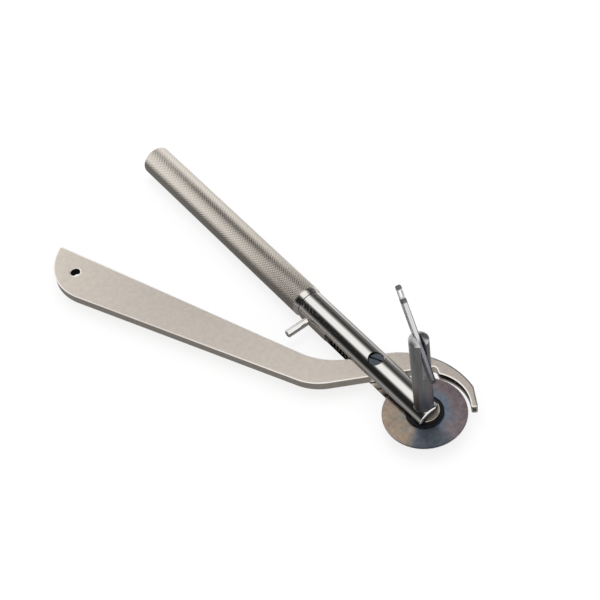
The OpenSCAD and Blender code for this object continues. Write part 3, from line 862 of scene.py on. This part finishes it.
# %% Guard lever
LEVER_T = span("guard_lever")[1].z
HANG_R = 1.4
GROOVE_DEPTH = 1.0
GROOVE_HALF = 0.55
EDGE_WIDE = 0.4
EDGE_DROP = 0.07
ON_FACE = 1e-3
hang = -ARBOR / MM
lever = carve(
    plate(lever_outline, -LEVER_T, LEVER_T),
    drill(SCREW_R + RUN_FIT, -LEVER_T - OVERRUN, LEVER_T + OVERRUN, PIVOT),
    drill(HANG_R, -LEVER_T - OVERRUN, LEVER_T + OVERRUN, hang),
    drill(hook_r + GROOVE_DEPTH, -GROOVE_HALF, GROOVE_HALF, hook_centre, steps=180))
for side in (-1, 1):
    flat = [f for f in lever.faces
            if all(abs(v.co.z - side * LEVER_T) < ON_FACE for v in f.verts)]
    ring = bmesh.ops.inset_region(lever, faces=flat, thickness=EDGE_WIDE, use_boundary=True,
                                  use_even_offset=True)["faces"]
    inner = {v for f in flat for v in f.verts}
    outer = {v for f in ring for v in f.verts} - inner
    bmesh.ops.translate(lever, vec=(0, 0, -side * EDGE_DROP), verts=list(outer))
    print("lever face", side, ":", len(ring), "faces round the edge")
piece("hooked_lever", lever, "lever", "lever_satin", "guard_lever", crease=9)

# %% [markdown]
# The satin plating is worn smoother and a touch lighter along the rolled edges: partly wear,
# partly a painted highlight. Inside the hanging hole, on the hook's inner wall and in its groove
# it is painted dark, as painted shade in these recesses. All of it follows the lever's own
# coordinates, with a skin that reaches a little into the metal round each face.

# %% Lever edges and painted shade
SKIN = 0.01
WALL_SKIN = 0.1
HOOK_SKIN = 0.12
LIP_SKIN = 0.05
tree, where = place_on("lever_satin")
height = node(tree, "SeparateXYZ", where).outputs["Z"]
above = calc(tree, "ABSOLUTE", height)


def within(value, limit):
    return calc(tree, "LESS_THAN", value, limit * MM)


under_edge = within(above, LEVER_T - EDGE_DROP - SKIN)
edge_band = calc(tree, "SUBTRACT", within(above, LEVER_T - SKIN), under_edge)
# The rolled edges: smoother from wear, and a touch lighter as a painted highlight.
overlay("lever_satin", edge_band, (255, 250, 243), 0.3)
from_hook = axis_distance(tree, where, ARBOR + hook_centre.to_3d() * MM)
from_hang = axis_distance(tree, where, (0, 0, 0))
hook_wall = calc(tree, "MULTIPLY", within(from_hook, hook_r + HOOK_SKIN), under_edge)
groove_wall = calc(tree, "MULTIPLY", within(from_hook, hook_r + GROOVE_DEPTH + WALL_SKIN),
                   within(above, GROOVE_HALF + LIP_SKIN))
over_lip = calc(tree, "GREATER_THAN", height, (LIP_SKIN - GROOVE_HALF) * MM)
hang_wall = calc(tree, "MULTIPLY", within(from_hang, HANG_R + WALL_SKIN), under_edge)
hook_shade = calc(tree, "MULTIPLY", calc(tree, "MAXIMUM", hook_wall, groove_wall), over_lip)
# Painted shade: the hanging hole's wall, the hook's inner wall and its groove are coloured dark.
overlay("lever_satin", calc(tree, "MAXIMUM", hang_wall, hook_shade), (52, 48, 44), 0.5)

# %% [markdown]
# ## Pivot screw
# A slotted screw sits sunk in the barrel's top, and the lever turns on its shank.

# %% Pivot screw
DRIVER_SLOT_W = 0.7
DRIVER_SLOT_DEPTH = 0.4
DRIVER_TURN = radians(24)
HEAD_CUT = 0.15
TIP_CUT = 0.2
head_low = screw_high.z - SCREW_HEAD_T
screw = carve(
    turned([(0, screw_low.z), (SCREW_R - TIP_CUT, screw_low.z), (SCREW_R, screw_low.z + TIP_CUT),
            (SCREW_R, head_low), (SCREW_HEAD_R, head_low), (SCREW_HEAD_R, screw_high.z - HEAD_CUT),
            (SCREW_HEAD_R - HEAD_CUT, screw_high.z), (0, screw_high.z)], steps=72),
    turn(block((-2 * SCREW_HEAD_R, -DRIVER_SLOT_W / 2, screw_high.z - DRIVER_SLOT_DEPTH),
               (2 * SCREW_HEAD_R, DRIVER_SLOT_W / 2, screw_high.z + OVERRUN)), DRIVER_TURN, "Z"))
piece("slotted_pivot", move(screw, PIVOT), "frame", "screw_dark", "pivot_screw")

# %% [markdown]
# ## Arbor post
# The post stands on the barrel and turns the disc through its thinner journal. Its top is crowned,
# and a saw cut through it takes the key.

# %% Arbor post
KEY_T = 1.3
KEY_W = 2.2
KEY_SHORT = 10.6
KEY_GAP = 0.1
KEY_TURN = atan2(-KEY_AXIS.x, KEY_AXIS.y)
POST_CROWN = 0.9
POST_EDGE = 0.08
JOURNAL_STEP = -0.25
SLOT_FLOOR = KEY_PIN.z - KEY_SHORT - 3 * KEY_GAP
foot = FOOT_SEAT + SIDE_FIT
crown_r = (POST_R ** 2 + POST_CROWN ** 2) / (2 * POST_CROWN)
rim_angle = acos(POST_R / crown_r)
crown = arc(Vector((0, post_high.z - crown_r)), crown_r, rim_angle, QUARTER, 12)[:-1]
post = carve(
    turned([(0, post_low.z), (LOW_JOURNAL_R, post_low.z), (LOW_JOURNAL_R, JOURNAL_STEP),
            (JOURNAL_R, JOURNAL_STEP), (JOURNAL_R, foot), (POST_R, foot), *crown,
            (0, post_high.z)], steps=96),
    turn(block((-2 * POST_R, -KEY_T / 2 - KEY_GAP, SLOT_FLOOR),
               (2 * POST_R, KEY_T / 2 + KEY_GAP, post_high.z + OVERRUN)), KEY_TURN, "Z"))
chamfer(post, POST_EDGE, sharper=60,
        keep=lambda edge: all(v.co.z > foot + OVERRUN for v in edge.verts))
piece("turning_post", post, "arbor", "post_steel", "arbor_post")

# %% [markdown]
# ## Folding key
# A slim polished bar swings on a pin through the post. Its ends are round, its long edges are well
# rounded for the fingers, and the upper end is flattened, with a long narrow eye through the flat.

# %% Folding key
KEY_LONG = 15.4
KEY_EYE_W = 0.7
KEY_EYE_LEN = 2.0
KEY_EYE_IN = 2.2
KEY_PIN_R = 0.5
EYE_THICK = 1.0
EYE_FLAT_IN = 3.7
BAR_ROUND = 0.35
EYE_EDGE = 0.15
end_r = KEY_W / 2
eye_half = (KEY_EYE_LEN - KEY_EYE_W) / 2


def long_hole(radius, top, bottom):
    """The outline of a bar or a slot with round ends."""
    return (arc(Vector((0, top)), radius, 0, pi)
            + arc(Vector((0, bottom)), radius, pi, FULL_TURN))


def eye_flat(near, far):
    """The cutter for one side of the flattened end."""
    return block((near, KEY_LONG - EYE_FLAT_IN, -KEY_T), (far, KEY_LONG + OVERRUN, KEY_T))


bar = plate(long_hole(end_r, KEY_LONG - end_r, end_r - KEY_SHORT), -KEY_T / 2, KEY_T / 2)
chamfer(bar, BAR_ROUND, sharper=60, segments=4)
eye = turn(plate(long_hole(KEY_EYE_W / 2, eye_half, -eye_half), -KEY_W, KEY_W), QUARTER, "Y")
key = carve(
    bar,
    eye_flat(EYE_THICK / 2, KEY_W),
    eye_flat(-KEY_W, -EYE_THICK / 2),
    move(eye, (0, KEY_LONG - KEY_EYE_IN, 0)),
    drill(KEY_PIN_R + RUN_FIT, -KEY_T, KEY_T))
chamfer(key, EYE_EDGE, sharper=60, segments=3,
        keep=lambda edge: all(v.co.y > end_r for v in edge.verts))
turn(key, QUARTER, "X")
turn(key, -KEY_LEAN, "Y")
turn(key, KEY_TURN, "Z")
piece("folding_key", move(key, KEY_PIN), "key", "key_steel", "key_bar")

# %% [markdown]
# The eye's walls are painted white, as painted light in the eye. The tip and the spot under the
# eye are painted dark, as painted shade round the eye. Each mask is a slab between two planes
# round the eye's middle.

# %% Key eye light and shade
SLAB_SOFT = 0.12
EYE_BORDER = 0.15
EYE_SKIN = 0.1
eye_place = pin_place + key_up * (KEY_LONG - KEY_EYE_IN) * MM
eye_reach = KEY_EYE_LEN / 2 + EYE_BORDER
tree, where = place_on("key_steel")


def slab(direction, half):
    """1 within a distance of the eye's middle along a direction."""
    level = eye_place.dot(direction)
    return band(tree, where, direction, level - half * MM, level + half * MM, SLAB_SOFT * MM)


by_eye = slab(key_up, eye_reach)
eye_ends_shade = calc(tree, "SUBTRACT", slab(key_up, 2 * eye_reach), by_eye)
# Painted shade at the tip and under the eye.
overlay("key_steel", eye_ends_shade, (112, 112, 118), 0.25)
eye_painted_light = calc(tree, "MULTIPLY", by_eye, slab(KEY_AXIS, KEY_EYE_W / 2 + EYE_SKIN))
# Painted light: the eye's walls are coloured white.
overlay("key_steel", eye_painted_light, (255, 255, 255), 0.9)

# %% [markdown]
# ## Saw disc, collar and washers
# One tooth sector is made from its listed corners and spun round the arbor as copies. The raked
# teeth lean into the cut. A black collar clamps the disc from above, and a bright washer runs
# between collar and barrel.

# %% Saw disc
TEETH = 120
TOOTH_DEPTH = 0.2
TOOTH_RAKE = 0.2
disc_low, disc_high = span("saw_disc")
tooth_turn = FULL_TURN / TEETH
disc = bmesh.new()
corners = [(DISC_R, 0), (DISC_R - TOOTH_DEPTH, TOOTH_RAKE * tooth_turn), (DISC_R, tooth_turn),
           (JOURNAL_R, tooth_turn), (JOURNAL_R, 0)]
sector = disc.faces.new([disc.verts.new((*(r * heading(a)), disc_low.z)) for r, a in corners])
bmesh.ops.spin(disc, geom=list(disc.verts) + list(disc.edges) + [sector], cent=(0, 0, 0),
               axis=(0, 0, 1), angle=FULL_TURN, steps=TEETH, use_duplicate=True)
bmesh.ops.remove_doubles(disc, verts=disc.verts, dist=WELD)
pull_up(disc, disc_high.z - disc_low.z)
piece("toothed_disc", disc, "arbor", "saw_tint", "saw_disc")

# %% Collar and washers
END_SCREW_R = 0.9
SHIM_ROUND = 0.04


def washer(name, body, slot, cad_node, inner, round_off=0.08):
    """A ring the size of its solid, with its corners taken off."""
    low, high = span(cad_node)
    outer = (high.x - low.x) / 2
    ring = turned([(inner, low.z), (outer - round_off, low.z), (outer, low.z + round_off),
                   (outer, high.z - round_off), (outer - round_off, high.z), (inner, high.z)],
                  steps=96, closed=True)
    piece(name, move(ring, ((low.x + high.x) / 2, 0, 0)), body, slot, cad_node)


washer("black_collar", "arbor", "collar_black", "hub_collar", JOURNAL_R)
washer("bright_washer", "frame", "washer_bright", "thrust_washer", JOURNAL_R + RUN_FIT)
washer("disc_spacer", "arbor", "inner_steel", "lower_spacer", LOW_JOURNAL_R)
washer("end_ring", "arbor", "inner_steel", "end_washer", END_SCREW_R + CLOSE_FIT)
washer("top_shim", "frame", "inner_steel", "upper_shim", SCREW_R + CLOSE_FIT, SHIM_ROUND)
washer("bottom_shim", "frame", "inner_steel", "lower_shim", SCREW_R + CLOSE_FIT, SHIM_ROUND)

# %% [markdown]
# ## End screw
# Below the barrel a slotted screw holds the disc, its collar and the spacer on the arbor.

# %% End screw
end_low, end_high = span("end_screw")
END_HEAD_R = end_high.x
END_HEAD_T = 0.9
head_top = end_low.z + END_HEAD_T
end_screw = carve(
    turned([(0, end_low.z), (END_HEAD_R - HEAD_CUT, end_low.z), (END_HEAD_R, end_low.z + HEAD_CUT),
            (END_HEAD_R, head_top), (END_SCREW_R, head_top), (END_SCREW_R, end_high.z),
            (0, end_high.z)], steps=72),
    block((-2 * END_HEAD_R, -DRIVER_SLOT_W / 2, end_low.z - OVERRUN),
          (2 * END_HEAD_R, DRIVER_SLOT_W / 2, end_low.z + DRIVER_SLOT_DEPTH)))
piece("slotted_end_screw", end_screw, "arbor", "screw_dark", "end_screw")

# %% [markdown]
# ## Key pin
# A plain pin, pressed across the post and dressed flush with its round side.

# %% Key pin
PIN_CUT = 0.15
pin_half = sqrt(POST_R ** 2 - KEY_PIN_R ** 2)
pin = turned([(0, -pin_half), (KEY_PIN_R - PIN_CUT, -pin_half), (KEY_PIN_R, -pin_half + PIN_CUT),
              (KEY_PIN_R, pin_half - PIN_CUT), (KEY_PIN_R - PIN_CUT, pin_half), (0, pin_half)],
             steps=48)
turn(pin, QUARTER, "X")
turn(pin, KEY_TURN, "Z")
piece("post_pin", move(pin, KEY_PIN), "arbor", "screw_dark", "key_pin")

# %% [markdown]
# ## Slider, thumb peg and spring
# A round slider runs in the bore, with a rib that fills the side slot. The peg screws into it, and
# a coil spring ahead of it pushes it back. The spring's wire is a small ring that is spun and
# moved along at the same time, which is what a spin with a step along its axis does.

# %% Slider and thumb peg
SLIDE_FIT = 0.06
RIB_R = -slider_low.y
RIB_HALF = SLIT - SLIDE_FIT
SLIDER_EDGE = 0.12
slide_r = BORE_R - SLIDE_FIT
body_edge = asin(RIB_HALF / slide_r)
rib_edge = asin(RIB_HALF / RIB_R)
section = (arc(Vector((0, 0)), slide_r, body_edge - pi, pi - body_edge)
           + arc(Vector((0, 0)), RIB_R, pi - rib_edge, pi + rib_edge))
slide_bar = plate(section, slider_low.x, slider_high.x)
chamfer(slide_bar, SLIDER_EDGE, sharper=60)
turn(slide_bar, QUARTER, "Z")
along_barrel(slide_bar)
piece("slide_block", slide_bar, "slide", "slider_satin", "slider")
print("slide block spans", [round(c, 2) for c in (slider_low.x, slider_high.x, RIB_R)])

PEG_R = 1.1
PEG_TIP = 0.35
PEG_SHOULDER_IN, PEG_SHOULDER_UP = 0.1, 0.12
peg_low, peg_high = span("thumb_peg")
peg = turned([(0, peg_low.y), (PEG_R - PEG_TIP, peg_low.y),
              (PEG_R - PEG_SHOULDER_IN, peg_low.y + PEG_SHOULDER_UP), (PEG_R, peg_low.y + PEG_TIP),
              (PEG_R, peg_high.y), (0, peg_high.y)], steps=72)
turn(peg, -QUARTER, "X")
move(peg, ((peg_low.x + peg_high.x) / 2, 0, 0))
piece("round_peg", peg, "slide", "peg_chrome", "thumb_peg")

rod_low, rod_high = span("guide_rod")
ROD_R = rod_high.z
ROD_CUT = 0.3
rod = turned([(0, rod_low.x), (ROD_R, rod_low.x), (ROD_R, rod_high.x - ROD_CUT),
              (ROD_R - ROD_CUT, rod_high.x), (0, rod_high.x)], steps=48)
piece("spring_guide", along_barrel(rod), "slide", "inner_steel", "guide_rod")

# %% Return spring
WIRE_R = 0.3
COILS = 7
COIL_R = 2.35
COIL_STEPS = 28
WIRE_SIDES = 12
coil_from = spring_low.x + 2 * WIRE_R
coil_pitch = (spring_high.x - spring_low.x - 4 * WIRE_R) / COILS
spring = bmesh.new()
wire = bmesh.ops.create_circle(spring, cap_ends=False, segments=WIRE_SIDES, radius=WIRE_R)["verts"]
turn(spring, QUARTER, "Y")
lean = atan(coil_pitch / (FULL_TURN * COIL_R))
turn(spring, QUARTER - lean, "Z")
move(spring, (coil_from, 0, COIL_R))
start_ring = list(spring.edges)
spun = bmesh.ops.spin(spring, geom=wire + start_ring, cent=(0, 0, 0), axis=(1, 0, 0),
                      dvec=(coil_pitch / COIL_STEPS, 0, 0), angle=COILS * FULL_TURN,
                      steps=COILS * COIL_STEPS)
end_ring = [e for e in spun["geom_last"] if isinstance(e, bmesh.types.BMEdge)]
bmesh.ops.contextual_create(spring, geom=start_ring)
bmesh.ops.contextual_create(spring, geom=end_ring)
bmesh.ops.recalc_face_normals(spring, faces=spring.faces)
coil = piece("coil_spring", spring, "frame", "spring_dark", "return_spring", crease=60)
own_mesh(coil)

# %% [markdown]
# ## Studio
# The tool lies on a white table in a white tent. Polished metal only looks like metal when it has
# something dark to show, so two bent cards stand over the tool's side, one for the barrel and one
# for the grip, and a low dark card stands at its right. A grey sheet on the table is painted shade:
# it glows least in front of and next to the tool and stands for the table's shade round it. They
# are all seen in reflections only. Each bent card is an arc round the tool's axis, so its
# brightness by angle becomes the bands along the metal.

# %% Table
TABLE_DROP = 0.3
TABLE_R = 3.0
TABLE_GLOW = 0.78
TABLE_MATT = (0.35, 0.35, 0.35, 1)
TABLE_PLAIN = (0.8, 0.79, 0.77, 1)
table_z = (CAD_BOX[0].z / MM - TABLE_DROP) * MM


def bare_material(name):
    """A material without nodes, and its tree."""
    made = bpy.data.materials.new(name)
    made.use_nodes = True
    made.node_tree.nodes.clear()
    return made, made.node_tree


def round_sheet(name, height):
    """A wide, level, round sheet under the arbor."""
    bm = bmesh.new()
    bmesh.ops.create_circle(bm, cap_ends=True, segments=64, radius=TABLE_R)
    return loose(move(bm, (ARBOR.x, ARBOR.y, height)), name)


table = round_sheet("white_table", table_z)
paper, tree = bare_material("white_paper")
glow = node(tree, "Emission", Strength=TABLE_GLOW)
matt = node(tree, "BsdfDiffuse", Color=TABLE_MATT)
lit = node(tree, "AddShader", glow.outputs[0], matt.outputs[0])
plain = node(tree, "BsdfDiffuse", Color=TABLE_PLAIN)
seen = node(tree, "LightPath").outputs["Is Camera Ray"]
looked_at = node(tree, "MixShader", seen, plain.outputs[0], lit.outputs[0])
node(tree, "OutputMaterial", Surface=looked_at.outputs[0])
table.data.materials.append(paper)
print("table at", round(table_z / MM, 2), "mm")

# %% Cards
CARD_R = 0.15
CARD_HALF = radians(92)
CARD_SPAN = 100
CARD_REAR, CARD_SEAM, CARD_FRONT = -260, -152, 10
BARREL_CARD = [(-100, 0.3), (-79, 0.19), (-67, 0.12), (-55, 0.055), (-43, 0.055), (-36, 0.13),
               (-30, 0.27), (-24, 0.6), (-16, 0.95), (16, 0.95), (22, 0.6), (27, 0.2), (32, 0.06),
               (39, 0.02), (65, 0.015), (72, 0.05), (77, 0.12), (89, 0.35), (100, 0.35)]
GRIP_CARD = [(-100, 1.0), (-56, 1.0), (-47, 0.9), (-40, 0.6), (-33, 0.28), (-27, 0.09), (-19, 0.04),
             (-12, 0.1), (-5, 0.34), (11, 0.62), (25, 0.8), (48, 0.95), (71, 0.95), (80, 0.8),
             (86, 0.45), (92, 0.28), (100, 0.28)]
GRIP_GLOW = 1.15


def reflected_only(made):
    """Hides a card from all but reflections."""
    for ray in ("camera", "diffuse", "shadow", "transmission"):
        setattr(made, "visible_" + ray, False)
    heights = [v.co.z for v in made.data.vertices]
    print(made.name, "from", round(min(heights), 3), "to", round(max(heights), 3))


def glowing(made, strength=1.0):
    """Gives a card plain emission, and gives back the tree and the emission's inputs."""
    material, tree = bare_material(made.name)
    shine = node(tree, "Emission", Strength=strength)
    node(tree, "OutputMaterial", Surface=shine.outputs[0])
    made.data.materials.append(material)
    return tree, shine.inputs


def swept_card(name, ends, axis, angle, steps):
    """The card that an edge leaves behind when it swings round an axis through the arbor."""
    bm = bmesh.new()
    ends = [bm.verts.new(end) for end in ends]
    bmesh.ops.spin(bm, geom=ends + [bm.edges.new(ends)], cent=(0, 0, 0), axis=axis, angle=angle,
                   steps=steps)
    made = loose(move(bm, ARBOR), name)
    made.data.shade_smooth()
    reflected_only(made)
    return made


def bent_card(name, rear, front, levels, strength=1.0):
    """An arc of card round the tool's axis, with a brightness for each angle from straight up."""
    edge = CARD_R * sin(CARD_HALF), CARD_R * cos(CARD_HALF)
    ends = [(x * MM, *edge) for x in (rear, front)]
    made = swept_card(name, ends, (1, 0, 0), 2 * CARD_HALF, steps=90)
    tree, shine = glowing(made, strength)
    place = node(tree, "SeparateXYZ", node(tree, "TexCoord").outputs["Object"])
    beside_axis = calc(tree, "SUBTRACT", ARBOR.y, place.outputs["Y"])
    angle = calc(tree, "ARCTAN2", beside_axis, place.outputs["Z"])
    share = stretch(tree, angle, (-radians(CARD_SPAN), radians(CARD_SPAN)))
    stops = [((tilt + CARD_SPAN) / (2 * CARD_SPAN), (level, level, level, 1))
             for tilt, level in levels]
    feed(tree, shine["Color"], ramp(tree, share, stops))


bent_card("barrel_card", CARD_SEAM, CARD_FRONT, BARREL_CARD)
bent_card("grip_card", CARD_REAR, CARD_SEAM, GRIP_CARD, GRIP_GLOW)

# %% Low card
LOW_CARD_R = 0.6
LOW_CARD_HIGH = 0.21
LOW_CARD_HALF = radians(70)
LOW_CARD_GLOW = 0.03
low_edge = LOW_CARD_R * cos(LOW_CARD_HALF), -LOW_CARD_R * sin(LOW_CARD_HALF)
glowing(swept_card("low_card", [(*low_edge, z) for z in (table_z, LOW_CARD_HIGH)], (0, 0, 1),
                   2 * LOW_CARD_HALF, steps=60), LOW_CARD_GLOW)

# %% Grey sheet of painted shade
SHEET_LIFT = 0.05
SHEET_GREY = 0.2
SHEET_FADE = (-1, 8)
BARREL_LIGHT, BARREL_FADE = 0.2, (-2, 15)
GRIP_LIGHT, GRIP_FADE = 0.45, (45, 70)
sheet = round_sheet("reflected_shade_sheet", table_z + SHEET_LIFT * MM)
reflected_only(sheet)
tree, shine = glowing(sheet)
where = node(tree, "TexCoord").outputs["Object"]
# The sheet glows least in front of the tool and next to it, and more behind it and along the grip:
# painted shade round the tool, seen in reflections.
behind = compare(tree, where, (0, 1, 0), *(ARBOR.y + mm * MM for mm in SHEET_FADE))
by_barrel, by_grip = (compare(tree, where, (-1, 0, 0), *(mm * MM - ARBOR.x for mm in fade))
                      for fade in (BARREL_FADE, GRIP_FADE))
light = calc(tree, "MULTIPLY_ADD", by_grip, GRIP_LIGHT,
             calc(tree, "MULTIPLY", by_barrel, BARREL_LIGHT))
feed(tree, shine["Strength"], calc(tree, "MULTIPLY_ADD", behind, light, SHEET_GREY))

# %% Tent and lamp
FILL = 0.6
LAMP_SIZE = 0.6
LAMP_PLACE = Vector((-0.15, 0.1, 0.9))
LAMP_RADIANCE = 1.0
tent = bpy.data.worlds.new("white_tent")
scene.world = tent
tent.use_nodes = True
tree = tent.node_tree
tree.nodes.clear()
ray = node(tree, "LightPath").outputs
seen = calc(tree, "MAXIMUM", calc(tree, "MAXIMUM", ray["Is Camera Ray"], ray["Is Glossy Ray"]),
            ray["Is Transmission Ray"])
fill, white = (node(tree, "Background", Color=(1, 1, 1, 1), Strength=strength).outputs[0]
               for strength in (FILL, 1.0))
node(tree, "OutputWorld",
     Surface=node(tree, "MixShader", seen, fill, white).outputs[0])

lamp = bpy.data.objects.new("softbox", bpy.data.lights.new("softbox", "AREA"))
scene.collection.objects.link(lamp)
lamp.visible_glossy = False
lamp.data.shape = "SQUARE"
lamp.data.size = LAMP_SIZE
lamp.data.energy = LAMP_RADIANCE * pi * LAMP_SIZE ** 2
lamp.location = ARBOR + LAMP_PLACE
lamp.rotation_euler = LAMP_PLACE.to_track_quat("Z", "Y").to_euler()
print("lamp of", round(lamp.data.energy, 2), "W")
